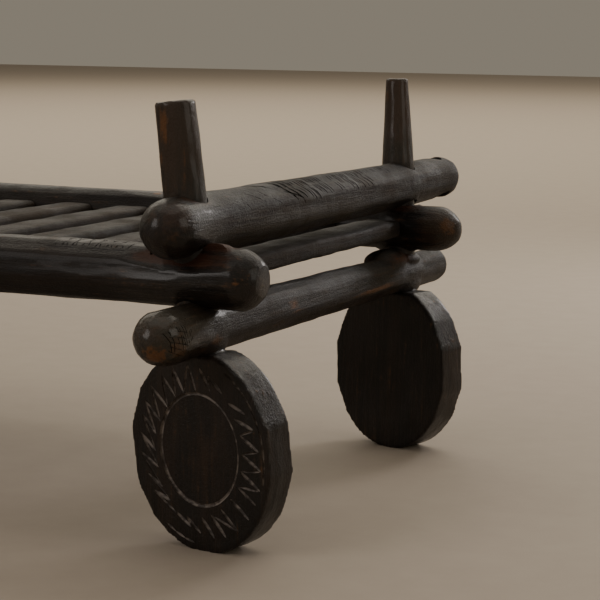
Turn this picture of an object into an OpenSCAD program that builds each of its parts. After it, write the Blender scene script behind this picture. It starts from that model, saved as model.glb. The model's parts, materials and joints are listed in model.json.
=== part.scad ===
// Low slatted daybed that knocks down without tools: two rails and two pairs of
// crossbeams are threaded on four legs, each a post and a disc foot in one piece.
// X runs along the rails, Y across the bed, Z up from the floor.
// The two ends are alike: the second is the first turned half a turn about Z.
// Pairs of values are [thick side, thin side] of one end.

/* [Overall] */
// Distance between the two posts of one end
post_spacing = 680; // [560:10:820]
// Distance between the posts of the two ends
end_spacing = 1680; // [1400:10:2020]
// Height of the rails' axes above the floor
rail_height = 342; // [280:1:405]

/* [Rails] */
// Radius of a rail at its thick end
rail_thick_radius = 38.5; // [34:0.5:47]
// Radius of a rail at its thin end
rail_thin_radius = 34; // [31:0.5:40]
// How far a rail runs past the post at its thick end
rail_thick_overhang = 98; // [75:1:120]
// How far a rail runs past the post at its thin end
rail_thin_overhang = 102; // [75:1:120]

/* [Lower crossbeams] */
// Radius at the thick tip
lower_thick_radius = 34; // [32:0.5:41]
// Radius at the thin tip
lower_thin_radius = 27; // [26:0.5:33]
// How far the beam runs past the post on the thick side
lower_thick_overhang = 136; // [90:1:165]
// How far the beam runs past the post on the thin side
lower_thin_overhang = 166; // [90:1:200]
// How deep beam and rail are let into each other on the thick side
lower_thick_sink = 7.5; // [2:0.5:10]
// Height of the packing boss that keeps beam and rail apart on the thin side
lower_thin_gap = 10; // [2:0.5:14]

/* [Upper crossbeams] */
// Radius at the thick tip
upper_thick_radius = 37; // [34:0.5:44]
// Radius at the thin tip
upper_thin_radius = 32; // [30:0.5:38]
// How far the beam runs past the post on the thick side
upper_thick_overhang = 86; // [70:1:110]
// How far the beam runs past the post on the thin side
upper_thin_overhang = 208; // [190:1:245]
// How deep beam and rail are let into each other on the thick side
upper_thick_sink = 10; // [2:0.5:12]
// How deep beam and rail are let into each other on the thin side
upper_thin_sink = 2.5; // [0:0.5:6]
// Radius of the spare pole hole
spare_hole_radius = 20; // [14:0.5:24]
// Distance from the thin post to the spare pole hole
spare_hole_offset = 150; // [110:1:150]
// Lean of the spare pole hole from upright, the way the posts lean
spare_hole_lean = 16; // [0:1:25]

/* [Legs] */
// Radius of the thick post inside the stack of beams
thick_post_radius = 27; // [22:0.5:28]
// Radius of the thick post at its top
thick_post_tip_radius = 24.5; // [18:0.5:26]
// Radius of the thin post inside the stack of beams
thin_post_radius = 24; // [20:0.5:24.5]
// Radius of the thin post at its top
thin_post_tip_radius = 16; // [12:0.5:18]
// Height of the thick post's top above the rails' axes
thick_post_rise = 217; // [180:1:260]
// Height of the thin post's top above the rails' axes
thin_post_rise = 228; // [190:1:274]
// Half the height of a disc foot
disc_half_height = 128; // [105:1:153]
// Half the width of a disc foot
disc_half_width = 107; // [88:1:128]
// Thickness of a disc foot
disc_thickness = 50; // [40:1:60]
// Depth of the flat worn on the foot's underside
foot_wear = 1.5; // [0.5:0.1:3]

/* [Slats] */
// Number of slats
slat_count = 16; // [12:1:16]
// Width of a slat
slat_width = 62; // [50:1:75]
// Thickness of a slat
slat_thickness = 25; // [18:0.5:30]
// Distance from the posts' centres to the centre of the first and last slat
slat_inset = 14; // [0:1:40]

/* [Fits] */
// Radial play of a post in the beams that stay with the rails
post_play = 0.4; // [0.3:0.1:1]
// Radial play of a post in the upper crossbeam, which lifts off
lift_play = 0.8; // [0.5:0.1:2]
// Gap between seats that rest on each other
seat_gap = 0.3; // [0.2:0.1:0.6]
// Wood left round a post hole in a beam's boss
boss_wall = 7; // [4:0.5:12]
// How far a slat's tenon goes into a rail
tenon_length = 22; // [12:1:24]
// How far the first and last slats' tenons go in, beside the posts
end_tenon_length = 6; // [4:0.5:7]
// Play round a tenon in its mortise
tenon_play = 0.3; // [0.2:0.1:0.8]

/* [Hidden] */
THICK = 0;
THIN = 1;
SIDES = [THICK, THIN];
side_y = [-post_spacing / 2, post_spacing / 2];
end_x = end_spacing / 2;

// Leg lean as [turn about X, turn about Y] in degrees, and the foot's swivel
lean = [[0, -6.9], [-2.3, -2.6]];
swivel = [-9, -16];
// Sideways place of a foot off its post's axis, along the post spacing
foot_offset = [-2, -8];

post_radius = [thick_post_radius, thin_post_radius];
post_tip_radius = [thick_post_tip_radius, thin_post_tip_radius];
post_rise = [thick_post_rise, thin_post_rise];

// A bar's radius at a place along it, tapering from tip to tip
function bar_radius(r0, r1, length, along) = r0 + (r1 - r0) * along / length;

rail_length = end_spacing + rail_thick_overhang + rail_thin_overhang;
lower_length = post_spacing + lower_thick_overhang + lower_thin_overhang;
upper_length = post_spacing + upper_thick_overhang + upper_thin_overhang;

function rail_radius_at(along) = bar_radius(rail_thick_radius, rail_thin_radius, rail_length, along);
function lower_radius_at(along) = bar_radius(lower_thick_radius, lower_thin_radius, lower_length, along);
function upper_radius_at(along) = bar_radius(upper_thick_radius, upper_thin_radius, upper_length, along);

// Radii of the three bars where they cross on each post
rail_r = [rail_radius_at(rail_thick_overhang), rail_radius_at(rail_length - rail_thin_overhang)];
lower_r = [lower_radius_at(lower_thick_overhang), lower_radius_at(lower_length - lower_thin_overhang)];
upper_r = [upper_radius_at(upper_thick_overhang), upper_radius_at(upper_length - upper_thin_overhang)];

// Heights along a leg, counted from the rail's axis
lower_w = [-(rail_r[THICK] + lower_r[THICK] - lower_thick_sink),
           -(rail_r[THIN] + lower_r[THIN] + lower_thin_gap)];
upper_w = [rail_r[THICK] + upper_r[THICK] - upper_thick_sink,
           rail_r[THIN] + upper_r[THIN] - upper_thin_sink];
shoulder_w = [for (s = SIDES) lower_w[s] - lower_r[s]];
lower_seat_w = [for (s = SIDES) (lower_w[s] + lower_r[s] - rail_r[s]) / 2];
upper_seat_w = [for (s = SIDES) (upper_w[s] - upper_r[s] + rail_r[s]) / 2];
boss_radius = [for (s = SIDES) post_radius[s] + post_play + boss_wall];
notch_margin = 3;
neck_root = 10;
tip_round = 1.5;
far_cut = 400;

// The upper crossbeam's holes widen downward as much as its lift strays from each post
flare = [0.016, 0.066];
hole_top_w = [for (s = SIDES) upper_w[s] + upper_r[s]];
flare_depth = [for (s = SIDES) hole_top_w[s] - upper_seat_w[s]];
lift_boss_radius = [for (s = SIDES) post_radius[s] + lift_play + flare[s] * flare_depth[s] + boss_wall - 2];

// The leg's axis in the row frame, one unit long
function leg_axis(s) = [sin(lean[s][1]) * cos(lean[s][0]), -sin(lean[s][0]), cos(lean[s][1]) * cos(lean[s][0])];
// A point on the leg's axis at a height along it
function on_leg(s, w) = [end_x, side_y[s], rail_height] + w * leg_axis(s);

// The foot's lowest point below its centre, which the lean lowers a little
function foot_drop(s) = norm([disc_half_height * leg_axis(s)[2], disc_half_width * leg_axis(s)[0]]);
// Where the foot's centre is along the leg
function foot_w(s) = -(rail_height - foot_drop(s) + foot_wear) / leg_axis(s)[2];
// Half the width of the flat that the shoulder cuts on top of the foot
function flat_half_width(s) =
    disc_half_width * sqrt(max(0, 1 - pow((shoulder_w[s] - foot_w(s)) / disc_half_height, 2)));
// How far from the post's axis the top of the foot and its neck sweep as the leg turns
function turn_reach(s) = max(norm([flat_half_width(s) + abs(foot_offset[s]), disc_thickness / 2]),
                             norm([boss_radius[s] + abs(foot_offset[s]), disc_thickness / 2]));

// A round bar along X that swells from tip to tip and ends in rounded tips
module bar(r0, r1, length) {
    tip = 1.15;
    steps = 8;
    function tip_point(t) = [1 - cos(90 * t), sin(90 * t)];
    // Where the tips meet the taper, their radius is the taper's own
    start_r = bar_radius(r0, r1, length, tip * r0);
    end_r = bar_radius(r0, r1, length, length - tip * r1);
    start = [for (i = [0:steps]) let (p = tip_point(i / steps)) [p[1] * start_r, p[0] * tip * r0]];
    end = [for (i = [steps:-1:0]) let (p = tip_point(i / steps)) [p[1] * end_r, length - p[0] * tip * r1]];
    rotate([0, 90, 0])
        rotate_extrude($fn = 48)
            polygon(concat(start, end));
}

// Puts its children in the leg's frame: origin on the rail's axis, Z up the post
module at_leg(s) {
    translate([end_x, side_y[s], rail_height])
        rotate([lean[s][0], lean[s][1], 0])
            children();
}

// The second end is the first, turned half a turn
module at_end(e) {
    rotate([0, 0, 180 * e]) children();
}

// Lays a bar from one crossing to the next, its thick tip one overhang before the first
module laid(a, b, overhang) {
    d = b - a;
    translate(a)
        rotate([0, -asin(d[2] / norm(d)), atan2(d[1], d[0])])
            translate([-overhang, 0, 0])
                children();
}

// A slab across the leg, from one height up to another, as wide as a crossing bar's seat
module slab(s, w0, w1, along_x, along_y) {
    at_leg(s)
        translate([-along_x / 2, -along_y / 2, w0])
            cube([along_x, along_y, w1 - w0]);
}

module boss(s, w0, w1, radius) {
    at_leg(s)
        translate([0, 0, w0])
            cylinder(h = w1 - w0, r = radius, $fn = 64);
}

module post_hole(s) {
    at_leg(s)
        translate([0, 0, -far_cut / 2])
            cylinder(h = far_cut, r = post_radius[s] + post_play, $fn = 64);
}

// A post hole that widens downward, running past the beam at both ends
module lift_hole(s) {
    spare = 30;
    function hole_radius(w) = post_radius[s] + lift_play + flare[s] * (hole_top_w[s] - w);
    low = upper_seat_w[s] - spare;
    high = hole_top_w[s] + spare;
    at_leg(s)
        translate([0, 0, low])
            cylinder(h = high - low, r1 = hole_radius(low), r2 = hole_radius(high), $fn = 64);
}

// A post's outline: straight through the stack of beams, then tapering to its top
module post(s, bottom_w, taper_w, top_w) {
    rotate_extrude($fn = 64)
        polygon([[0, bottom_w], [post_radius[s], bottom_w], [post_radius[s], taper_w],
                 [post_tip_radius[s], top_w - tip_round], [post_tip_radius[s] - tip_round, top_w], [0, top_w]]);
}

// Where the slats' centres are along X
slat_pitch = (end_spacing - 2 * slat_inset) / (slat_count - 1);
function slat_x(i) = -end_spacing / 2 + slat_inset + i * slat_pitch;
// Radius of the rail on each side at a place along X; the rails taper opposite ways
function rail_radius_x(x, side) = side == THICK
    ? rail_radius_at(end_x + rail_thick_overhang - x)
    : rail_radius_at(end_x + rail_thick_overhang + x);
tenon_height = 0.56 * slat_thickness;
tenon_width = 0.8 * slat_width;
function tenon_reach(i) = i == 0 || i == slat_count - 1 ? end_tenon_length : tenon_length;
// A slat stops short of the rail where the rail is widest across the slat
function slat_reach(x, side) = post_spacing / 2 - seat_gap
    - max(rail_radius_x(x - slat_width / 2, side), rail_radius_x(x + slat_width / 2, side));

module rail(side) {
    color([0.13, 0.09, 0.07])
    rotate([0, 0, side == THICK ? 0 : 180])
    difference() {
        union() {
            translate([end_x + rail_thick_overhang, side_y[THICK], rail_height])
                rotate([0, 0, 180])
                    bar(rail_thick_radius, rail_thin_radius, rail_length);
            boss(THICK, lower_seat_w[THICK] + seat_gap / 2, upper_seat_w[THICK] - seat_gap / 2, boss_radius[THICK]);
            rotate([0, 0, 180])
                boss(THIN, lower_seat_w[THIN] + seat_gap / 2, upper_seat_w[THIN] - seat_gap / 2, boss_radius[THIN]);
        }
        rail_seats(THICK);
        rotate([0, 0, 180]) rail_seats(THIN);
        for (i = [0:slat_count - 1]) {
            x = side == THICK ? slat_x(i) : -slat_x(i);
            depth = tenon_reach(i) + tenon_play;
            translate([x - tenon_width / 2 - tenon_play,
                       -post_spacing / 2 + rail_radius_x(x, THICK) - depth,
                       rail_height - tenon_height / 2 - tenon_play])
                cube([tenon_width + 2 * tenon_play, depth + rail_thick_radius,
                      tenon_height + 2 * tenon_play]);
        }
    }
}

// What a rail gives way to at one post: the two crossbeams and the post
module rail_seats(s) {
    lower_width = 2 * (lower_r[s] + notch_margin);
    upper_width = 2 * (upper_r[s] + notch_margin);
    wide = 3 * rail_r[s];
    slab(s, lower_seat_w[s] - far_cut, lower_seat_w[s] + seat_gap / 2, lower_width, wide);
    slab(s, upper_seat_w[s] - seat_gap / 2, upper_seat_w[s] + far_cut, upper_width, wide);
    post_hole(s);
}

module lower_crossbeam(e) {
    a = on_leg(THICK, lower_w[THICK]);
    b = on_leg(THIN, lower_w[THIN]);
    color([0.15, 0.10, 0.07])
    at_end(e)
    difference() {
        union() {
            laid(a, b, lower_thick_overhang)
                bar(lower_thick_radius, lower_thin_radius, lower_length);
            for (s = SIDES)
                boss(s, shoulder_w[s] + seat_gap, lower_seat_w[s] - seat_gap / 2, boss_radius[s]);
        }
        for (s = SIDES) {
            rail_width = 2 * (rail_r[s] + notch_margin);
            slab(s, lower_seat_w[s] - seat_gap / 2, lower_seat_w[s] + far_cut, 3 * lower_r[s], rail_width);
            slab(s, shoulder_w[s] - far_cut, shoulder_w[s] + seat_gap,
                 3 * lower_r[s], 2 * (turn_reach(s) + notch_margin));
            post_hole(s);
        }
    }
}

module upper_crossbeam(e) {
    a = on_leg(THICK, upper_w[THICK]);
    b = on_leg(THIN, upper_w[THIN]);
    color([0.12, 0.08, 0.06])
    at_end(e)
    difference() {
        union() {
            laid(a, b, upper_thick_overhang)
                bar(upper_thick_radius, upper_thin_radius, upper_length);
            for (s = SIDES)
                boss(s, upper_seat_w[s] + seat_gap / 2, upper_w[s], lift_boss_radius[s]);
        }
        for (s = SIDES) {
            rail_width = 2 * (rail_r[s] + notch_margin);
            slab(s, upper_seat_w[s] - far_cut, upper_seat_w[s] + seat_gap / 2, 3 * upper_r[s], rail_width);
            lift_hole(s);
        }
        translate(b + spare_hole_offset * (b - a) / norm(b - a))
            rotate([0, -spare_hole_lean, 0])
                cylinder(h = far_cut, r = spare_hole_radius, center = true, $fn = 64);
    }
}

// An upright slab with an oval outline, its edges rounded off by stepping the outline in
module disc_foot() {
    edge = 7;
    function oval(inset, n = 72) = [for (i = [0:n - 1])
        [(disc_half_width - inset) * cos(360 * i / n), (disc_half_height - inset) * sin(360 * i / n)]];
    hull() {
        for (step = [[0, edge * 1.4], [edge * 0.4, edge * 0.4], [edge * 1.2, 0]])
            rotate([90, 0, 0])
                linear_extrude(disc_thickness - 2 * step[1] * 0.9, center = true)
                    polygon(oval(edge * 1.2 - step[0]));
    }
}

module leg(e, s) {
    top_w = post_rise[s] / leg_axis(s)[2];
    taper_w = upper_w[s] + (s == THIN ? upper_r[s] : 0);
    color([0.14, 0.09, 0.07])
    at_end(e)
    difference() {
        at_leg(s) {
            post(s, shoulder_w[s] - neck_root, taper_w, top_w);
            difference() {
                translate([0, foot_offset[s], 0])
                rotate([0, 0, swivel[s]]) {
                    translate([0, 0, foot_w(s)]) disc_foot();
                    translate([-boss_radius[s], -disc_thickness / 2, foot_w(s)])
                        cube([2 * boss_radius[s], disc_thickness, shoulder_w[s] - foot_w(s)]);
                }
                translate([-far_cut / 2, -far_cut / 2, shoulder_w[s]])
                    cube([far_cut, far_cut, far_cut]);
            }
        }
        translate([0, 0, -far_cut])
            cube([4 * end_x, 4 * end_x, 2 * far_cut], center = true);
    }
}

// A board with rounded long edges, and a tenon at each end
module slat(i) {
    x = slat_x(i);
    low = -slat_reach(x, THICK);
    high = slat_reach(x, THIN);
    round_r = 0.3 * slat_thickness;
    color([0.20, 0.14, 0.10])
    translate([x, 0, rail_height]) {
        translate([0, high, 0])
            rotate([90, 0, 0])
                linear_extrude(high - low)
                    slat_section(round_r);
        translate([-tenon_width / 2, low - tenon_reach(i), -tenon_height / 2])
            cube([tenon_width, high - low + 2 * tenon_reach(i), tenon_height]);
    }
}

module slat_section(round_r) {
    for (sx = [-1, 1], sz = [-1, 1])
        translate([sx * (slat_width / 2 - round_r), sz * (slat_thickness / 2 - round_r)])
            circle(r = round_r, $fn = 24);
    square([slat_width, slat_thickness - 2 * round_r], center = true);
    square([slat_width - 2 * round_r, slat_thickness], center = true);
}

SIDE_NAMES = ["near", "far"];
END_NAMES = ["head", "foot"];
function leg_name(e, s) = str(END_NAMES[e], "_", SIDE_NAMES[s], "_leg");
function slat_name(i) = str("slat_", i + 1);

// The foot end is turned round, so its thick side is the far one
for (e = [0, 1], s = SIDES)
    leg(e, e == 0 ? s : 1 - s);
for (e = [0, 1])
    lower_crossbeam(e);
for (e = [0, 1])
    upper_crossbeam(e);
for (s = SIDES)
    rail(s);
for (i = [0:slat_count - 1])
    slat(i);
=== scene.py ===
"""Low slatted daybed, hewn from dark hardwood, carved at the head and worn by use.

Lengths in the lists below are in millimetres and are turned into metres by MM.
"""
import json
import math
import random

import bpy
from mathutils import Matrix, Vector


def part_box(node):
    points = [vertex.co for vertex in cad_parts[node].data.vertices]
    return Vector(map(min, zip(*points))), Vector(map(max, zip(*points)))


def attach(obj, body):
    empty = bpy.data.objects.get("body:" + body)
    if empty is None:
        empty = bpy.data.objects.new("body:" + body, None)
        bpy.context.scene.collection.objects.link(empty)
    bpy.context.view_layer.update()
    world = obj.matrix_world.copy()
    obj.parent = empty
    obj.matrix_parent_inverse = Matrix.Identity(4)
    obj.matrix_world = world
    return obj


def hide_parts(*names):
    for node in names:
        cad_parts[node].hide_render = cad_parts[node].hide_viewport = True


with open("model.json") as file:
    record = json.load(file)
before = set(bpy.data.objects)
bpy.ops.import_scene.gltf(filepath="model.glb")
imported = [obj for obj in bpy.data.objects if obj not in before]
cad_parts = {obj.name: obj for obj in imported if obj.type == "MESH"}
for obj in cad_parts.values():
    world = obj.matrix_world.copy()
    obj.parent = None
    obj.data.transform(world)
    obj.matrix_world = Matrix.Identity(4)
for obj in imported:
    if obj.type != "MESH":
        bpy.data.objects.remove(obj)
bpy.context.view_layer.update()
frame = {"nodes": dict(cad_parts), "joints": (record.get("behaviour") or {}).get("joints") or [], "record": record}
behaviour = frame["record"]["behaviour"]
body_of_node = {node: body for body, nodes in behaviour["bodies"].items() for node in nodes}
joints = {joint["name"]: joint for joint in frame["joints"]}

MM = 0.001
THICK = 0
THIN = 1
UP = Vector((0, 0, 1))

# Heights along a leg, in mm from the rail's axis: [thick side, thin side]
SHOULDER = [-96.8, -100.6]
LOWER_AXIS = [-63.8, -72.4]
LOWER_SEAT = [-34.5, -39.2]
UPPER_SEAT = [33.3, 33.0]
UPPER_AXIS = [64.8, 64.8]
FOOT_AXIS = [-217.4, -216.0]
POST_RADIUS = [27.0, 24.0]
POST_CLEARANCE = [1.1, 1.6]
SEAT_GAP = 0.2
SPARE_HOLE_RADIUS = 20.2
FOOT_OFFSET = [-2.0, -8.0]
FOOT_SWIVEL = [-9.0, -16.0]
FOOT_HALF_WIDTH = 107.0
FOOT_HALF_HEIGHT = 128.0
FOOT_HALF_THICKNESS = 25.0


# ---------------------------------------------------------------- setting out

def bench(origin, along, up):
    """A workplace with its Z along a piece and its Y as near to up as it can be."""
    z = Vector(along).normalized()
    x = Vector(up).cross(z).normalized()
    y = z.cross(x)
    turn = Matrix((x, y, z)).transposed().to_4x4()
    return Matrix.Translation(Vector(origin)) @ turn


def leg_place(joint):
    """The rail crossing and the post's direction at one leg."""
    return Vector(joint["pos_m"]), Vector(joint["axis"]).normalized()


head_legs = [leg_place(joints["head_near_leg_turn"]), leg_place(joints["head_far_leg_turn"])]


def on_leg(side, height):
    crossing, direction = head_legs[side]
    return crossing + direction * height * MM


def leg_bench(side):
    """At the rail's axis, Z up the post, Y across the bed."""
    crossing, direction = head_legs[side]
    lean_x = math.asin(-direction.y)
    lean_y = math.atan2(direction.x, direction.z)
    return Matrix.Translation(crossing) @ Matrix.Rotation(lean_y, 4, "Y") @ Matrix.Rotation(lean_x, 4, "X")


def foot_bench(side):
    """At the middle of a disc foot, its face towards -Y."""
    return (leg_bench(side) @ Matrix.Translation((0, FOOT_OFFSET[side] * MM, 0))
            @ Matrix.Rotation(math.radians(FOOT_SWIVEL[side]), 4, "Z")
            @ Matrix.Translation((0, 0, FOOT_AXIS[side] * MM)))


# ---------------------------------------------------------------- bench tools

def only(*pieces):
    """Selects these pieces and nothing else, the first one active."""
    bpy.ops.object.select_all(action="DESELECT")
    for piece in pieces:
        piece.select_set(True)
    bpy.context.view_layer.objects.active = pieces[0]


def made(place=None):
    """The piece just made, laid at its place with its object back at the origin."""
    piece = bpy.context.object
    if place is not None:
        piece.matrix_world = place @ piece.matrix_world
    only(piece)
    bpy.ops.object.transform_apply(location=True, rotation=True, scale=True)
    return piece


def joined(pieces):
    only(*pieces)
    if len(pieces) > 1:
        bpy.ops.object.join()
    return bpy.context.object


def finish_with(piece, kind, **settings):
    """Adds a modifier and applies it."""
    only(piece)
    modifier = piece.modifiers.new(kind.lower(), kind)
    for key, value in settings.items():
        setattr(modifier, key, value)
    bpy.ops.object.modifier_apply(modifier=modifier.name)


def ball(place, size):
    """A swelling: an egg with these three radii, in mm."""
    bpy.ops.object.select_all(action="DESELECT")
    bpy.ops.mesh.primitive_uv_sphere_add(segments=32, ring_count=16, radius=1)
    return made(place @ Matrix.Diagonal([s * MM for s in size] + [1]))


def block(place, low, high):
    """A block between two corners, in mm."""
    bpy.ops.object.select_all(action="DESELECT")
    bpy.ops.mesh.primitive_cube_add(size=1)
    middle = [(a + b) / 2 * MM for a, b in zip(low, high)]
    size = [(b - a) * MM for a, b in zip(low, high)]
    return made(place @ Matrix.Translation(middle) @ Matrix.Diagonal(size + [1]))


def peg(place, radius, low, high):
    """A round peg along Z, in mm."""
    bpy.ops.object.select_all(action="DESELECT")
    bpy.ops.mesh.primitive_cylinder_add(vertices=64, radius=radius * MM, depth=(high - low) * MM,
                                        location=(0, 0, (low + high) / 2 * MM))
    return made(place)


def stroke(start, stop, normal, width, depth):
    """The wood that one chisel stroke takes out, deepest in the middle."""
    run = stop - start
    bpy.ops.object.select_all(action="DESELECT")
    bpy.ops.mesh.primitive_uv_sphere_add(segments=6, ring_count=6, radius=1)
    half = run.length / 2
    return made(bench((start + stop) / 2, run, normal)
                @ Matrix.Diagonal((width / 2 * MM, depth * MM, half, 1)))


def above(tool, place, height):
    """What is left of a cutting shape over a height up a leg, so that it leaves a flat seat."""
    only(tool)
    bpy.ops.object.mode_set(mode="EDIT")
    bpy.ops.mesh.select_all(action="SELECT")
    bpy.ops.mesh.bisect(plane_co=place @ Vector((0, 0, height * MM)), plane_no=place.to_3x3() @ UP,
                        use_fill=True, clear_inner=True)
    bpy.ops.object.mode_set(mode="OBJECT")
    return tool


def cut(piece, tools, passes=1, fresh=0):
    """Takes these shapes out of a piece, neighbours in different passes so that they may cross.

    fresh is the piece's finish that the newly cut faces get: 0 like the rest, 1 like a chisel cut, 2 like a chisel
    cut lightened as painted highlight; on legs 1 is that lightened cut as well.
    """
    for start in range(passes):
        knife = joined(tools[start::passes])
        only(knife)
        bpy.ops.object.mode_set(mode="EDIT")
        bpy.ops.mesh.select_all(action="SELECT")
        bpy.ops.mesh.normals_make_consistent(inside=False)
        bpy.ops.object.mode_set(mode="OBJECT")
        knife.data.materials.clear()
        for material in piece.data.materials:
            knife.data.materials.append(material)
        for face in knife.data.polygons:
            face.material_index = fresh
        finish_with(piece, "BOOLEAN", operation="DIFFERENCE", solver="MANIFOLD", object=knife)
        bpy.data.objects.remove(knife)


# ---------------------------------------------------------------- hewing

# Rings in each rounded tip of a bar
TIP_STEPS = 8


def bar(name, place, outline, facets):
    """A round bar drawn out ring by ring along Z, then planed flat here and there.

    outline gives (distance, radius) pairs; facets give (angle round the bar, depth of the flat).
    """
    bpy.ops.object.select_all(action="DESELECT")
    first, last = outline[0], outline[-1]
    bpy.ops.mesh.primitive_circle_add(vertices=48, radius=first[1] * MM, fill_type="NGON",
                                      location=(0, 0, first[0] * MM))
    made()
    bpy.ops.object.mode_set(mode="EDIT")
    bpy.ops.mesh.select_all(action="SELECT")
    for (z0, r0), (z1, r1) in zip(outline, outline[1:]):
        bpy.ops.mesh.extrude_region_move(TRANSFORM_OT_translate={"value": (0, 0, (z1 - z0) * MM)})
        bpy.ops.transform.resize(value=(r1 / r0, r1 / r0, 1), center_override=(0, 0, z1 * MM))
    bpy.ops.mesh.select_all(action="SELECT")
    bpy.ops.mesh.normals_make_consistent(inside=False)
    thin_end, thick_end = sorted((outline[TIP_STEPS + 1], outline[-TIP_STEPS - 1]), key=lambda ring: ring[1])
    taper = (thick_end[1] - thin_end[1]) / (thin_end[0] - thick_end[0])
    for angle, depth in facets:
        turn = math.radians(angle)
        reach = thick_end[1] - depth
        bpy.ops.mesh.select_all(action="SELECT")
        across, rise = math.cos(turn), math.sin(turn)
        bpy.ops.mesh.bisect(plane_co=(reach * MM * across, reach * MM * rise, thick_end[0] * MM),
                            plane_no=(across, rise, taper), use_fill=True, clear_outer=True)
    bpy.ops.object.mode_set(mode="OBJECT")
    piece = made(place)
    piece.name = name
    return piece


def rounded(length, thick, thin, tips=(1.2, 1.2), swell=0.0, belly=0.0, rings=14):
    """A bar's outline: an egg-shaped tip, a wavy taper fuller in the middle, and the other tip."""
    outline = []
    for i in range(TIP_STEPS):
        turn = math.radians(4 + 86 * i / (TIP_STEPS - 1))
        outline.append(((1 - math.cos(turn)) * thick * tips[0], math.sin(turn) * thick))
    start = thick * tips[0]
    stop = length - thin * tips[1]
    for i in range(1, rings):
        share = i / rings
        radius = thick + (thin - thick) * share
        radius += (belly + swell * math.sin(9.1 * share + 0.7)) * math.sin(math.pi * share)
        outline.append((start + (stop - start) * share, radius))
    for i in range(TIP_STEPS):
        turn = math.radians(90 - 86 * i / (TIP_STEPS - 1))
        outline.append((length - (1 - math.cos(turn)) * thin * tips[1], math.sin(turn) * thin))
    return outline


def surface_of(outline, overhang, grown=0.5):
    """How far a bar's surface lies from its middle line, by the distance from its first post."""
    def radius_at(along):
        for (z0, r0), (z1, r1) in zip(outline, outline[1:]):
            if z0 <= along + overhang <= z1:
                return r0 + (r1 - r0) * (along + overhang - z0) / (z1 - z0) + grown
        return outline[0][1]
    return radius_at


def relief(name, kind, size, **settings):
    """A pattern for pushing a surface in and out."""
    texture = bpy.data.textures.new(name, kind)
    texture.noise_scale = size
    for key, value in settings.items():
        setattr(texture, key, value)
    return texture


WAVES = relief("hand_waves", "CLOUDS", 0.055, noise_depth=1)
SCALLOPS = relief("adze_scallops", "VORONOI", 0.019, distance_metric="DISTANCE_SQUARED")
GRAIN = relief("raised_grain", "CLOUDS", 0.010, noise_depth=2)


def guide(name, direction, stretch):
    """An empty whose Z lies along the grain and is stretched by that much."""
    turn = UP.rotation_difference(Vector(direction)).to_matrix().to_4x4()
    pattern = bpy.data.objects.new(name, None)
    bpy.context.scene.collection.objects.link(pattern)
    pattern.matrix_world = turn @ Matrix.Diagonal((1, 1, stretch, 1))
    bpy.context.view_layer.update()
    return pattern


along_x = guide("along_rails", (1, 0, 0), 5)
along_y = guide("along_crossbeams", (0, 1, 0), 5)
up_z = guide("up_legs", (0, 0, 1), 3)


def hewn(piece, slot, grain, cell=3.0, melt=4, waves=1.6, scallops=1.5, ridges=0.5, grow=0.8):
    """Joins a rough shape into one skin and gives it soft edges, waves, adze scallops and grain.

    grow makes up for what the softening takes off all round.
    """
    piece.data.materials.clear()
    # The third finish is the lighter chisel cut, its colour painted highlight.
    for material in (woods[slot], cuts[slot], painted_glint_cut):
        piece.data.materials.append(material)
    finish_with(piece, "REMESH", mode="VOXEL", voxel_size=cell * MM, use_smooth_shade=True)
    finish_with(piece, "LAPLACIANSMOOTH", iterations=melt, lambda_factor=0.9, use_volume_preserve=True)
    finish_with(piece, "DISPLACE", strength=grow * MM, mid_level=0.0)
    finish_with(piece, "DISPLACE", texture=WAVES, strength=waves * MM, mid_level=0.5)
    for texture, depth, middle in ((SCALLOPS, scallops, 0.18), (GRAIN, ridges, 0.5)):
        finish_with(piece, "DISPLACE", texture=texture, strength=depth * MM, mid_level=middle,
                    texture_coords="OBJECT", texture_coords_object=grain)


def placed(piece, node, crease=38):
    """Settles a finished piece in the model in its node's stead."""
    only(piece)
    bpy.ops.object.shade_smooth_by_angle(angle=math.radians(crease))
    piece.name = node + "_wood"
    piece.data.name = piece.name
    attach(piece, body_of_node[node])
    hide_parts(node)


def turned_copy(piece):
    """The same piece for the foot end, half a turn round."""
    copy = piece.copy()
    copy.data = piece.data.copy()
    bpy.context.scene.collection.objects.link(copy)
    copy.matrix_world = Matrix.Rotation(math.pi, 4, "Z")
    only(copy)
    bpy.ops.object.transform_apply(location=True, rotation=True, scale=True)
    return copy


def cad_copy(node):
    """A copy of the node's own shape, merged into one skin."""
    bpy.ops.object.select_all(action="DESELECT")
    piece = bpy.data.objects.new(node + "_blank", frame["nodes"][node].data.copy())
    bpy.context.scene.collection.objects.link(piece)
    only(piece)
    bpy.ops.object.mode_set(mode="EDIT")
    bpy.ops.mesh.select_all(action="SELECT")
    bpy.ops.mesh.remove_doubles(threshold=0.00001)
    bpy.ops.object.mode_set(mode="OBJECT")
    piece.data.materials.clear()
    return piece


# ---------------------------------------------------------------- shader helpers

class Value:
    """A number that varies over a surface; arithmetic on it adds Math nodes."""

    def __init__(self, recipe, socket):
        self.recipe = recipe
        self.socket = socket

    def __add__(self, other):
        return self.recipe.math("ADD", self, other)

    def __radd__(self, other):
        return self.recipe.math("ADD", other, self)

    def __sub__(self, other):
        return self.recipe.math("SUBTRACT", self, other)

    def __rsub__(self, other):
        return self.recipe.math("SUBTRACT", other, self)

    def __mul__(self, other):
        return self.recipe.math("MULTIPLY", self, other)

    def __rmul__(self, other):
        return self.recipe.math("MULTIPLY", other, self)


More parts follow.
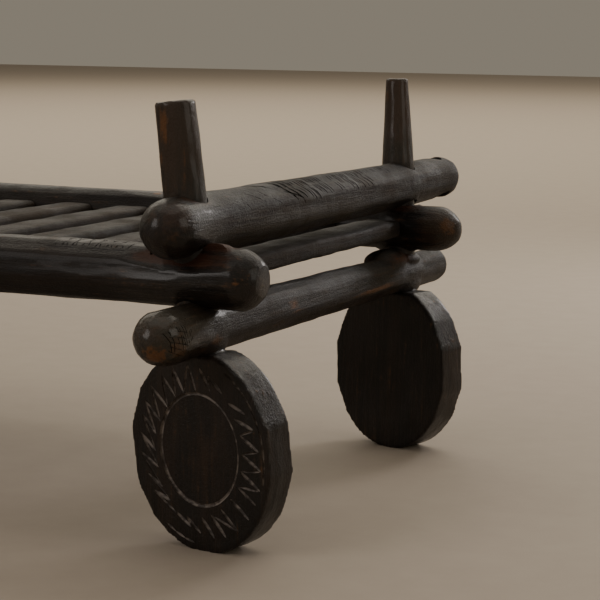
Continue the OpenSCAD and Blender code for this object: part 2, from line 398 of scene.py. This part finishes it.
class Recipe:
    """One material, built node by node."""

    def __init__(self, name):
        self.material = bpy.data.materials.new(name)
        self.material.use_nodes = True
        self.tree = self.material.node_tree
        self.tree.nodes.clear()

    def add(self, kind, inputs=None, out=0, **settings):
        """A node of this kind: its settings first, then its sockets' values or links."""
        node = self.tree.nodes.new(kind)
        for key, value in settings.items():
            setattr(node, key, value)
        for key, value in (inputs or {}).items():
            if isinstance(value, Value):
                self.tree.links.new(value.socket, node.inputs[key])
            else:
                node.inputs[key].default_value = value
        return Value(self, node.outputs[out]) if node.outputs else None

    def math(self, operation, a, b=0.0, clamp=False):
        return self.add("ShaderNodeMath", {0: a, 1: b}, operation=operation, use_clamp=clamp)

    def most(self, a, b):
        return self.math("MAXIMUM", a, b)

    def step(self, a, low, high):
        """0 below low, 1 above high, smooth between."""
        return self.add("ShaderNodeMapRange", {"Value": a, "From Min": low, "From Max": high},
                        interpolation_type="SMOOTHSTEP")

    def mix(self, factor, a, b):
        """One colour into another."""
        return self.add("ShaderNodeMix", {0: factor, 6: a, 7: b}, out=2, data_type="RGBA")

    def place(self, at=(0, 0, 0), scale=(1, 1, 1)):
        """The piece's own coordinates, in metres, moved and stretched."""
        where = self.add("ShaderNodeTexCoord", out=3)
        return self.add("ShaderNodeMapping", {"Vector": where, "Location": at, "Scale": scale})

    def noise(self, where, scale, detail=4.0, roughness=0.55):
        return self.add("ShaderNodeTexNoise", {"Vector": where, "Scale": scale, "Detail": detail,
                                               "Roughness": roughness})

    def near(self, centre, size):
        """1 at a place, falling to 0 at an egg-shaped distance round it; both in mm."""
        scale = [1 / (s * MM) for s in size]
        at = [-c * MM * k for c, k in zip(centre, scale)]
        return self.add("ShaderNodeTexGradient", {"Vector": self.place(at, scale)}, out=1,
                        gradient_type="SPHERICAL")


def rgba(r, g, b):
    return (r, g, b, 1.0)


PITCH = rgba(0.0030, 0.0017, 0.0012)
BROWN = rgba(0.019, 0.0095, 0.0055)
# Painted sheen: a greyer colour that stands for the soft reflection on the wood's sides.
PAINTED_SHEEN = rgba(0.032, 0.023, 0.012)
RUST = rgba(0.060, 0.022, 0.011)
OCHRE = rgba(0.13, 0.052, 0.014)
# Painted sheen, lighter: stands for light caught on posts, beam tips and rail ends.
PALE_PAINTED_SHEEN = rgba(0.050, 0.041, 0.027)
# Painted highlight: a light grey standing for the glints that chisel-cut faces catch.
PAINTED_GLINT = rgba(0.20, 0.17, 0.15)
DEEP = rgba(0.006, 0.003, 0.002)


def wood(name, grain, warmth=0.5, grey=0.3, gloss=0.34, coat=0.25, ochre=(), rust=(), pale=(),
         polish=()):
    """Dark oiled hardwood: long grain, greyer patches of painted sheen, polished places, rubbed ochre places and
    rusty joints.

    ochre, rust, pale and polish list patches: the centre and the half size in mm, and the strength; the pale ones
    are painted sheen.
    """
    r = Recipe(name)
    along = r.place(scale=grain)
    even = r.place()
    bands = r.noise(along, 30, 3)
    streaks = r.noise(along, 170, 6, 0.65)
    pores = r.noise(along, 700, 3, 0.7)
    cloudy = r.noise(even, 12, 5, 0.6)
    mottle = r.noise(even, 70, 5, 0.7)
    fine = r.noise(even, 300, 4, 0.65)

    tone = r.step(0.55 * bands + 0.45 * streaks, 0.40, 0.66) * warmth
    colour = r.mix(tone, PITCH, BROWN)
    # Painted sheen: greyer patches, as strong as grey allows, standing for the reflection on the sides.
    colour = r.mix(r.step(0.6 * cloudy + 0.4 * streaks, 0.42, 0.64) * grey, colour, PAINTED_SHEEN)
    breaks = 2.2 * (streaks - 0.5) + 1.6 * (mottle - 0.5) + 0.8 * (cloudy - 0.5)
    dusty = None
    for centre, size, strength in rust:
        blot = r.step(r.near(centre, size) * 1.2 + 0.6 * breaks, 0.12, 0.75) * strength
        dusty = blot if dusty is None else r.most(dusty, blot)
    if dusty is not None:
        colour = r.mix(dusty, colour, RUST)
    # Painted sheen: lighter patches where posts, tips and rail ends catch light.
    for centre, size, strength in pale:
        blot = r.step(r.near(centre, size) * 1.3 + 0.4 * breaks, 0.05, 0.6) * strength
        colour = r.mix(blot, colour, PALE_PAINTED_SHEEN)
    worn = r.step(0.5 * streaks + 0.5 * mottle, 0.60, 0.72) * 0.18
    for centre, size, strength in ochre:
        blot = r.step(r.near(centre, size) * 1.1 + breaks, 0.30, 0.95) * strength
        worn = r.most(worn, blot)
    colour = r.mix(worn, colour, OCHRE)

    roughness = gloss + 0.22 * r.step(cloudy, 0.40, 0.68) + 0.30 * (fine - 0.5)
    if dusty is not None:
        roughness = roughness + 0.25 * dusty
    for centre, size, strength in polish:
        rubbed = r.step(r.near(centre, size), 0.0, 0.8) * strength
        roughness = roughness - 0.20 * rubbed
        coat = coat + 0.4 * rubbed
    height = 0.6 * streaks + 0.35 * pores + 0.5 * fine + 0.35 * mottle
    bump = r.add("ShaderNodeBump", {"Height": height, "Strength": 0.9, "Distance": 0.0028})
    skin = r.add("ShaderNodeBsdfPrincipled", {
        "Base Color": colour, "Roughness": roughness, "Normal": bump,
        "Coat Weight": coat, "Coat Roughness": 0.16, "Specular IOR Level": 0.24})
    r.add("ShaderNodeOutputMaterial", {"Surface": skin})
    return r.material


def chisel_cut(name, colour, paler):
    """The inside of a carved stroke, duller than the skin round it; with a light second colour it is painted
    highlight standing for the glints on cut faces.
    """
    r = Recipe(name)
    patchy = r.noise(r.place(), 90, 4, 0.6)
    shade = r.mix(r.step(patchy, 0.40, 0.62), colour, paler)
    roughness = 0.42 + 0.25 * patchy
    skin = r.add("ShaderNodeBsdfPrincipled", {"Base Color": shade, "Roughness": roughness,
                                              "Specular IOR Level": 0.35})
    r.add("ShaderNodeOutputMaterial", {"Surface": skin})
    return r.material


X_GRAIN = (0.06, 1, 1)
Y_GRAIN = (1, 0.06, 1)
Z_GRAIN = (1, 1, 0.06)

# In these finishes the pale patches are painted sheen, standing for light caught on the wood.
woods = {
    "leg_wood": wood("leg_wood", Z_GRAIN, 0.75, 0.10, 0.36, 0.30, pale=(
        ((826, -345, 500), (60, 60, 110), 0.35),
        ((830, 345, 500), (60, 60, 110), 0.40)), ochre=(
        ((811, -364, 530), (9, 16, 30), 0.75),
        ((806, -362, 488), (6, 12, 14), 0.5),
        ((868, -368, 120), (50, 20, 80), 0.08),
        ((960, -330, 120), (12, 40, 70), 0.30),
        ((900, 330, 90), (20, 60, 60), 0.30)), rust=(
        ((828, -340, 452), (34, 34, 22), 0.55),
        ((820, -345, 520), (60, 60, 110), 0.35),
        ((836, 344, 450), (32, 32, 22), 0.60),
        ((833, 345, 520), (50, 50, 90), 0.50))),
    "lower_beam_wood": wood("lower_beam_wood", Y_GRAIN, 0.7, 0.55, 0.50, 0.0, polish=(
        ((850, -450, 280), (110, 170, 110), 1.0),), pale=(
        ((870, -450, 290), (70, 60, 50), 0.45),), ochre=(
        ((856, -472, 262), (26, 30, 20), 0.9),
        ((876, -450, 272), (14, 24, 24), 0.35),
        ((878, -352, 268), (12, 26, 12), 0.55),
        ((878, -121, 280), (10, 30, 16), 0.75),
        ((873, 180, 266), (10, 120, 7), 0.65)), rust=(
        ((848, -440, 290), (40, 60, 24), 0.45),
        ((843, 300, 298), (40, 90, 14), 0.8))),
    "upper_beam_wood": wood("upper_beam_wood", Y_GRAIN, 0.55, 0.60, 0.54, 0.0, polish=(
        ((850, -420, 405), (100, 160, 100), 0.9),), ochre=(
        ((851, -417, 399), (14, 14, 12), 0.15),), rust=(
        ((840, -346, 440), (36, 40, 16), 0.5),
        ((836, 344, 438), (36, 40, 14), 0.6),
        ((846, -402, 420), (40, 34, 30), 0.30)), pale=(
        ((875, -40, 396), (30, 300, 22), 0.25),)),
    "rail_wood": wood("rail_wood", X_GRAIN, 0.55, 0.15, 0.42, 0.10, ochre=(
        ((916, -372, 343), (6, 8, 5), 0.9),
        ((930, 318, 348), (18, 20, 22), 0.45),
        ((418, 329, 374), (14, 12, 8), 0.9)), rust=(
        ((835, -366, 368), (90, 26, 18), 0.8),
        ((880, -347, 384), (40, 30, 14), 0.8),
        ((915, 322, 345), (50, 40, 40), 0.35),
        ((846, 335, 375), (50, 40, 14), 0.7)), pale=(
        ((944, -340, 342), (10, 30, 26), 0.8),
        ((925, 322, 345), (50, 40, 40), 0.3)), polish=(
        ((850, -360, 335), (180, 50, 50), 0.9),)),
    "slat_wood": wood("slat_wood", Y_GRAIN, 0.9, 0.55, 0.60, 0.0),
}
# Painted highlight: this lighter cut finish stands for the glints that the carved faces catch.
painted_glint_cut = chisel_cut("painted_glint_cut", rgba(0.045, 0.035, 0.030), PAINTED_GLINT)
dark_cut = chisel_cut("dark_cut", PITCH, DEEP)
cuts = {"leg_wood": painted_glint_cut, "lower_beam_wood": dark_cut, "upper_beam_wood": dark_cut,
        "rail_wood": dark_cut, "slat_wood": dark_cut}


# ---------------------------------------------------------------- camera, light and floor

LENS = 116.7
STAND = (1.970, -2.465, 0.663)
camera_data = bpy.data.cameras.new("camera")
camera_data.sensor_width = 36
camera_data.lens = LENS
camera = bpy.data.objects.new("camera", camera_data)
bpy.context.scene.collection.objects.link(camera)
AZIMUTH, TILT, ROLL = (math.radians(angle) for angle in (24.84, 8.26, 0.51))
camera.matrix_world = (Matrix.Translation(STAND) @ Matrix.Rotation(AZIMUTH, 4, "Z")
                       @ Matrix.Rotation(math.pi / 2 - TILT, 4, "X") @ Matrix.Rotation(ROLL, 4, "Z"))
bpy.context.scene.camera = camera


def softbox(name, place, aim, size, power, colour):
    data = bpy.data.lights.new(name, "AREA")
    data.shape = "RECTANGLE"
    data.size, data.size_y = size
    data.energy = power
    data.color = colour
    lamp = bpy.data.objects.new(name, data)
    bpy.context.scene.collection.objects.link(lamp)
    lamp.location = place
    lamp.rotation_euler = (Vector(aim) - Vector(place)).to_track_quat("-Z", "Y").to_euler()


HEAD = (0.84, -0.1, 0.30)
softbox("left_window", (-0.55, -2.45, 1.55), HEAD, (1.3, 1.3), 19, (1.0, 0.94, 0.90))
softbox("right_window", (3.6, -0.1, 1.5), HEAD, (1.6, 1.4), 12, (1.0, 0.95, 0.85))
softbox("back_window", (1.68, 2.9, 1.35), HEAD, (0.7, 0.6), 26, (1.0, 0.95, 0.93))
softbox("ceiling", (0.6, 0.2, 3.6), (0.6, 0, 0), (4.0, 4.0), 38, (1.0, 0.94, 0.86))

bpy.ops.object.select_all(action="DESELECT")
bpy.ops.mesh.primitive_plane_add(size=40, location=(0, 0, 0))
floor = bpy.context.object
floor.name = "floor"
paint = Recipe("floor_paint")
grain_of_floor = paint.noise(paint.place(), 18, 6, 0.6)
floor_colour = paint.mix(grain_of_floor, rgba(0.33, 0.275, 0.22), rgba(0.38, 0.32, 0.26))
skin = paint.add("ShaderNodeBsdfPrincipled", {"Base Color": floor_colour, "Roughness": 0.8})
paint.add("ShaderNodeOutputMaterial", {"Surface": skin})
floor.data.materials.append(paint.material)

softbox("far_floor_light", (-3.2, 8.2, 4.5), (-3.2, 8.2, 0), (12.0, 12.0), 800, (1.0, 0.92, 0.78))

world = bpy.data.worlds.new("room")
bpy.context.scene.world = world
world.use_nodes = True
background = world.node_tree.nodes["Background"]
background.inputs["Color"].default_value = (0.86, 0.76, 0.60, 1)
background.inputs["Strength"].default_value = 0.27


# ---------------------------------------------------------------- legs

def face_point(place, share, angle, out=0.0):
    """A point on a foot's face at a share of the way to its edge, angle counted from the right."""
    turn = math.radians(angle)
    x = share * FOOT_HALF_WIDTH * math.cos(turn)
    z = share * FOOT_HALF_HEIGHT * math.sin(turn)
    return place @ Vector((x * MM, -(FOOT_HALF_THICKNESS + out) * MM, z * MM))


def oval_groove(place, share, width):
    """A groove round a foot's face, to be cut out."""
    bpy.ops.object.select_all(action="DESELECT")
    bpy.ops.mesh.primitive_torus_add(major_segments=72, minor_segments=8, minor_radius=width / 2 * MM,
                                     major_radius=share * FOOT_HALF_WIDTH * MM)
    stretch = Matrix.Diagonal((1, FOOT_HALF_HEIGHT / FOOT_HALF_WIDTH, 1, 1))
    return made(place @ Matrix.Translation((0, -FOOT_HALF_THICKNESS * MM, 0))
                @ Matrix.Rotation(math.pi / 2, 4, "X") @ stretch)


def sunk_centre(place, share, depth):
    """The shallow oval middle of a carved face, to be cut out."""
    disc = peg(Matrix.Identity(4), share * FOOT_HALF_WIDTH, -10, depth)
    stretch = Matrix.Diagonal((1, FOOT_HALF_HEIGHT / FOOT_HALF_WIDTH, 1, 1))
    disc.data.transform(place @ Matrix.Translation((0, -FOOT_HALF_THICKNESS * MM, 0))
                        @ Matrix.Rotation(-math.pi / 2, 4, "X") @ stretch)
    return disc


# How steeply the chisel strokes fall to the right, in degrees, every 30 degrees round a foot from its right
STROKE_SLOPES = (38, 30, 52, 70, 60, 50, 43, 30, 42, 62, 54, 46)


def foot_carving(place, seed):
    """A ring of zigzag chisel strokes that nearly all run down to the right, and a broken border line."""
    hand = random.Random(seed)
    normal = (place.to_3x3() @ Vector((0, -1, 0))).normalized()
    tools = []
    ends = []
    teeth = 26
    for i in range(teeth):
        middle = 360 * (i + 0.5) / teeth + hand.uniform(-1.5, 1.5)
        centre = face_point(place, 0.745, middle, 0.9)
        share = middle / 30 % 12
        before, after = STROKE_SLOPES[int(share)], STROKE_SLOPES[int(share + 1) % 12]
        slope = -math.radians(before + (after - before) * (share % 1) + hand.uniform(-6, 6))
        outward = math.cos(slope - math.radians(middle))
        half = (12 + 6 * abs(outward) + hand.uniform(-1, 1)) * MM
        run = place.to_3x3() @ Vector((math.cos(slope) * half, 0, math.sin(slope) * half))
        if outward < 0:
            run = -run
        ends.append((middle, centre - run, centre + run))
        if not 35 < middle < 75 or hand.random() < 0.5:
            tools.append(stroke(centre - run, centre + run, normal,
                                hand.uniform(4.6, 6.2), hand.uniform(3.2, 4.0)))
    for (middle, inner, outer), (_, next_inner, next_outer) in zip(ends, ends[1:] + ends[:1]):
        chance = 0.2 if 250 < middle < 325 else 0.85
        if hand.random() < chance:
            start, stop = (outer, next_inner) if 60 < middle < 250 else (inner, next_outer)
            gap = (stop - start) * 0.06
            tools.append(stroke(start + gap, stop - gap, normal,
                                hand.uniform(3.4, 4.4), hand.uniform(2.6, 3.4)))
    for start in (-22, -13, -4, 5, 14, 23, 32, 41, 50, 230, 239, 248):
        tools.append(stroke(face_point(place, 0.92, start, 0.6), face_point(place, 0.92, start + 9.4, 0.6),
                            normal, 3.8, 2.8))
    return tools


# Where the axe took the rim of a foot back: (angle from the right, depth)
RIM_FLATS = ((180, 3.4), (202, 1.9), (158, 1.9), (0, 2.8), (22, 1.6), (-22, 1.6))


def flattened_rim(place):
    """What the axe takes off a foot's rim, leaving flats."""
    tools = []
    for angle, depth in RIM_FLATS:
        turn = math.radians(angle)
        reach = math.hypot(FOOT_HALF_WIDTH * math.cos(turn), FOOT_HALF_HEIGHT * math.sin(turn)) - depth
        at = place @ Matrix.Rotation(-turn, 4, "Y")
        tools.append(block(at, (reach, -45, -120), (reach + 40, 45, 120)))
    return tools


# The sunk oval's and its groove's shares of a foot's face, and how far above the middle they sit
OVAL_SHARE = 0.545
GROOVE_SHARE = 0.555
OVAL_RISE = 3.5


def make_leg(side):
    node = ("head_near_leg", "head_far_leg")[side]
    piece = cad_copy(node)
    place = foot_bench(side)
    for tool in flattened_rim(place):
        cut(piece, [tool])
    hewn(piece, "leg_wood", up_z, cell=2.6, melt=12, waves=1.0, scallops=1.0, ridges=0.5)
    if side == THIN:
        place = place @ Matrix.Rotation(math.pi, 4, "Z")
    oval_place = place @ Matrix.Translation((0, 0, OVAL_RISE * MM))
    cut(piece, [sunk_centre(oval_place, OVAL_SHARE, 1.3)])
    # The foot's groove and strokes take the lighter cut finish, painted highlight for their glints.
    cut(piece, [oval_groove(oval_place, GROOVE_SHARE, 4.6)], fresh=1)
    cut(piece, foot_carving(place, 5 + side), passes=5, fresh=1)
    cut(piece, [block(Matrix.Identity(4), (500, -600, -50), (1200, 600, 0))])
    return piece


near_leg = make_leg(THICK)
far_leg = make_leg(THIN)
placed(turned_copy(near_leg), "foot_far_leg")
placed(turned_copy(far_leg), "foot_near_leg")
placed(near_leg, "head_near_leg")
placed(far_leg, "head_far_leg")


# ---------------------------------------------------------------- crossbeams

def beam_bench(heights, overhang):
    """Along a crossbeam from its near tip, Y up; also the bench at the near post."""
    a = on_leg(THICK, heights[THICK])
    b = on_leg(THIN, heights[THIN])
    at_post = bench(a, b - a, UP)
    return at_post @ Matrix.Translation((0, 0, -overhang * MM)), at_post, (b - a).length / MM


def round_beam(at_post, radius, along, angle):
    """A point on a beam and the way out of it there; angle counted from the head side up."""
    turn = math.radians(angle)
    out = Vector((-math.cos(turn), math.sin(turn), 0))
    normal = (at_post.to_3x3() @ out).normalized()
    return at_post @ Vector((out.x * radius * MM, out.y * radius * MM, along * MM)), normal


def tip_point(at_post, overhang, radius, tip, across, rise):
    """A point on a beam's near tip, so far to the head side and so far up, in mm."""
    share = math.sqrt(1 - (across ** 2 + rise ** 2) / radius ** 2)
    return at_post @ (Vector((-across, rise, tip * radius * (1 - share) - overhang)) * MM)


def wrapped_stroke(at_post, radius_at, start, stop, width, depth, bends=3):
    """A long stroke that follows the beam's curve, from (along, angle) to (along, angle)."""
    tools = []
    for i in range(bends):
        spots = []
        for share in (i / bends, (i + 1) / bends):
            along = start[0] + (stop[0] - start[0]) * share
            angle = start[1] + (stop[1] - start[1]) * share
            spots.append(round_beam(at_post, radius_at(along), along, angle))
        (p, n), (q, m) = spots
        lap = (q - p) * 0.16
        tools.append(stroke(p - lap, q + lap, n + m, width, depth))
    return tools


def make_lower_crossbeam():
    near_overhang, far_overhang = 136, 166
    base, at_post, span = beam_bench(LOWER_AXIS, near_overhang)
    length = span + near_overhang + far_overhang
    outline = rounded(length, 34, 27, tips=(1.25, 1.3), swell=0.5)
    body = bar("lower", base, outline, ((72, 2.2), (170, 1.8), (118, 1.2), (222, 1.6), (-50, 1.6), (12, 1.4)))
    parts = [body]
    swells = (((33.6, 78, 33.6), (32.5, 46, 38)), ((29.2, 100, 29.2), (28.8, 58, 34)))
    for side in (THICK, THIN):
        at = leg_bench(side) @ Matrix.Translation((0, 0, LOWER_AXIS[side] * MM))
        level, lowered = swells[side]
        parts.append(ball(at, level))
        parts.append(ball(at @ Matrix.Translation((0, 0, -8 * MM)), lowered))
    for across, size in ((0, (29, 46, 11.5)), (-54, (27, 52, 18))):
        packing = leg_bench(THIN) @ Matrix.Translation((0, across * MM, (LOWER_AXIS[THIN] + 22) * MM))
        parts.append(ball(packing, size))
    piece = joined(parts)
    hewn(piece, "lower_beam_wood", along_y, melt=5)
    tools = []
    for side, reach, across, tall in ((THICK, 48, 38.6, 38.6), (THIN, 63, 35.6, 44.6)):
        at = leg_bench(side)
        saddle = ball(at, (400 if side == THICK else 200, across, tall))
        tools.append(above(saddle, at, LOWER_SEAT[side] - SEAT_GAP))
        tools.append(block(at, (-60, -reach, SHOULDER[side] - 60), (60, reach, SHOULDER[side] + 0.4)))
    for tool in tools:
        cut(piece, [tool])
    for side in (THICK, THIN):
        cut(piece, [peg(leg_bench(side), POST_RADIUS[side] + POST_CLEARANCE[side], -200, 100)])

    radius_at = surface_of(outline, near_overhang)
    hand = random.Random(31)
    marks = []
    for i in range(9):
        along = -126 + 5 * i + hand.uniform(-1.5, 1.5)
        marks += wrapped_stroke(at_post, radius_at, (along, 34 + hand.uniform(-8, 8)),
                                (along + hand.uniform(6, 14), -30 + hand.uniform(-8, 8)), 1.5, 1.1, 2)
    for i in range(5):
        angle = 26 - 13 * i
        marks += wrapped_stroke(at_post, radius_at, (-122, angle), (-92, angle - 12), 1.3, 0.9, 2)
    for i in range(3):
        marks += wrapped_stroke(at_post, radius_at, (-60 + 5 * i, -14 - 12 * i), (-34, -16 - 12 * i),
                                1.4, 0.8, 2)
    cut(piece, marks, passes=7, fresh=1)
    return piece


def make_upper_crossbeam():
    near_overhang, far_overhang = 86, 208
    base, at_post, span = beam_bench(UPPER_AXIS, near_overhang)
    length = span + near_overhang + far_overhang
    outline = rounded(length, 37, 32, tips=(1.15, 1.1), swell=0.4, belly=2.4)
    body = bar("upper", base, outline, ((178, 1.2), (128, 1.0), (80, 0.8), (232, 1.4), (-55, 1.6), (20, 1.4)))
    parts = [body]
    for side, size in ((THICK, (36.8, 80, 37.2)), (THIN, (34.2, 130, 34.2))):
        at = leg_bench(side) @ Matrix.Translation((0, 0, UPPER_AXIS[side] * MM))
        parts.append(ball(at, size))
        parts.append(ball(at @ Matrix.Translation((0, 0, -10 * MM)), (size[0] - 2, 36, 30)))
    piece = joined(parts)
    hewn(piece, "upper_beam_wood", along_y, melt=5)
    for side, seat in ((THICK, 30), (THIN, 44)):
        cut(piece, [block(leg_bench(side), (-60, -seat, -60), (60, seat, UPPER_SEAT[side] + SEAT_GAP))])
    for side, low_radius, top_radius in ((THICK, 30.0, 27.9), (THIN, 30.5, 25.0)):
        cut(piece, [peg(leg_bench(side), top_radius, 0, 140)])
        bpy.ops.object.select_all(action="DESELECT")
        bpy.ops.mesh.primitive_cone_add(vertices=64, radius1=low_radius * MM, radius2=top_radius * MM,
                                        depth=74 * MM, location=(0, 0, (UPPER_SEAT[side] + 32) * MM))
        cut(piece, [made(leg_bench(side))])
    hole = next(m for m in frame["record"]["mounts"] if m["name"] == "head_spare_pole_hole")
    hole_bench = bench(hole["pos_m"], hole["axis"], (0, 1, 0))
    cut(piece, [peg(hole_bench, SPARE_HOLE_RADIUS, -80, 80)])
    for height, size in ((34, (25, 25, 6)), (-33, (25, 26, 8))):
        cut(piece, [ball(hole_bench @ Matrix.Translation((0, -4 * MM, height * MM)), size)])

    radius_at = surface_of(outline, near_overhang)
    hand = random.Random(12)
    marks = []
    for i in range(18):
        along = 192 + 8.4 * i + hand.uniform(-2, 2)
        stop = (along + 46 - i, 26 + hand.uniform(-10, 12))
        marks += wrapped_stroke(at_post, radius_at, (along, 106), stop,
                                hand.uniform(2.4, 3.6), hand.uniform(1.8, 2.6))
    for i in range(16):
        along = 372 + 7.6 * i + hand.uniform(-2, 2)
        stop = (along + 26, 28 + hand.uniform(-8, 14))
        marks += wrapped_stroke(at_post, radius_at, (along, 108), stop,
                                hand.uniform(2.2, 3.2), hand.uniform(1.7, 2.4))
    for i in range(11):
        along = 492 + 8.5 * i + hand.uniform(-2, 2)
        stop = (along + 20, 50 + hand.uniform(-8, 8))
        marks += wrapped_stroke(at_post, radius_at, (along, 106), stop, 2.0, 1.5)
    cut(piece, marks, passes=7, fresh=1)
    marks = wrapped_stroke(at_post, radius_at, (140, 88), (262, 24), 3.0, 1.6, 8)
    marks += wrapped_stroke(at_post, radius_at, (262, 24), (272, -4), 2.0, 1.0, 2)
    scratches = (((92, 44), (104, 20)), ((108, 62), (150, 30)),
                 ((150, 58), (164, 40)), ((176, 34), (196, 20)))
    for start, stop in scratches:
        marks += wrapped_stroke(at_post, radius_at, start, stop, 1.1, 0.6, 2)
    cut(piece, marks, passes=3, fresh=1)
    tally = []
    for i in range(11):
        low_end = tip_point(at_post, near_overhang, 37, 1.15, -3 + 3.0 * i, -11)
        high_end = tip_point(at_post, near_overhang, 37, 1.15, 1 + 3.0 * i, 3)
        tally.append(stroke(low_end, high_end, low_end - at_post.translation, 1.5, 0.9))
    # The tally marks take the lighter cut finish, painted highlight for their glints.
    cut(piece, tally, passes=2, fresh=2)
    return piece


lower = make_lower_crossbeam()
placed(turned_copy(lower), "foot_lower_crossbeam")
placed(lower, "head_lower_crossbeam")
upper = make_upper_crossbeam()
placed(turned_copy(upper), "foot_upper_crossbeam")
placed(upper, "head_upper_crossbeam")


# ---------------------------------------------------------------- rails

def make_near_rail():
    head_overhang = 98
    crossing = head_legs[THICK][0]
    blunt = 3
    tip = crossing + Vector(((head_overhang + blunt) * MM, 0, 0))
    low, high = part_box("near_rail")
    length = (high[0] - low[0]) / MM + blunt
    outline = rounded(length, 38.5, 34, tips=(1.0, 1.15), swell=0.7, rings=26)
    body = bar("rail", bench(tip, (-1, 0, 0), UP), outline,
               ((90, 1.2), (52, 1.0), (12, 1.6), (-35, 1.4), (-80, 1.6), (200, 1.4), (150, 1.4)))
    parts = [body]
    lump = Matrix.Translation(crossing + Vector((36, -6, 30)) * MM)
    parts.append(ball(lump, (26, 20, 14)))
    parts.append(ball(lump @ Matrix.Translation((-14 * MM, 8 * MM, -2 * MM)), (22, 18, 13)))
    turned = Matrix.Rotation(math.pi, 4, "Z")
    parts.append(ball(turned @ leg_bench(THIN), (56, 34, 43)))
    piece = joined(parts)
    hewn(piece, "rail_wood", along_x, melt=4)
    thick, thin = leg_bench(THICK), turned @ leg_bench(THIN)
    worn_side = Matrix.Translation(crossing) @ Matrix.Rotation(math.radians(50), 4, "X")
    blunt_end = Matrix.Translation(crossing)
    tools = [ball(worn_side @ Matrix.Translation((-4 * MM, 0, 64 * MM)), (160, 100, 30)),
             block(blunt_end, (head_overhang - 1.5, -60, -60), (head_overhang + 20, 60, 60)),
             block(thick, (-46, -60, UPPER_SEAT[THICK] - SEAT_GAP), (24, 60, 120)),
             block(thick, (20, -60, UPPER_SEAT[THICK] - SEAT_GAP), (66, -14, 120)),
             block(thick, (-23, -60, -120), (23, 60, LOWER_SEAT[THICK] + SEAT_GAP)),
             block(thin, (-34, -60, UPPER_SEAT[THIN] - SEAT_GAP), (34, 60, 120)),
             block(thin, (-60, -60, -120), (60, 60, LOWER_SEAT[THIN] + SEAT_GAP)),
             peg(thick, POST_RADIUS[THICK] + POST_CLEARANCE[THICK], -120, 120),
             peg(thin, POST_RADIUS[THIN] + POST_CLEARANCE[THIN], -120, 120)]
    for tool in tools:
        cut(piece, [tool])
    rail_bench = bench(crossing, (-1, 0, 0), UP)
    hand = random.Random(8)
    marks = []
    radius_at = surface_of(outline, head_overhang + blunt)
    for i in range(14):
        along = 84 + 8 * i + hand.uniform(-2, 2)
        lean = 14 if i % 2 else -14
        marks += wrapped_stroke(rail_bench, radius_at, (along, 122), (along + lean, 40 + hand.uniform(-6, 6)),
                                hand.uniform(1.8, 2.6), hand.uniform(1.1, 1.6), 3)
    for angle in (128, 44):
        marks += wrapped_stroke(rail_bench, radius_at, (80, angle), (200, angle), 2.0, 1.2, 5)
    cut(piece, marks, passes=4, fresh=1)
    return piece


near_rail = make_near_rail()
placed(turned_copy(near_rail), "far_rail")
placed(near_rail, "near_rail")


# ---------------------------------------------------------------- slats

for node in behaviour["bodies"]["frame"]:
    if node.startswith("slat_"):
        slat = cad_copy(node)
        hewn(slat, "slat_wood", along_y, cell=4.5, melt=2, waves=2.4, scallops=0.8, ridges=0.6)
        placed(slat, node)

for pattern in (along_x, along_y, up_z):
    bpy.data.objects.remove(pattern)
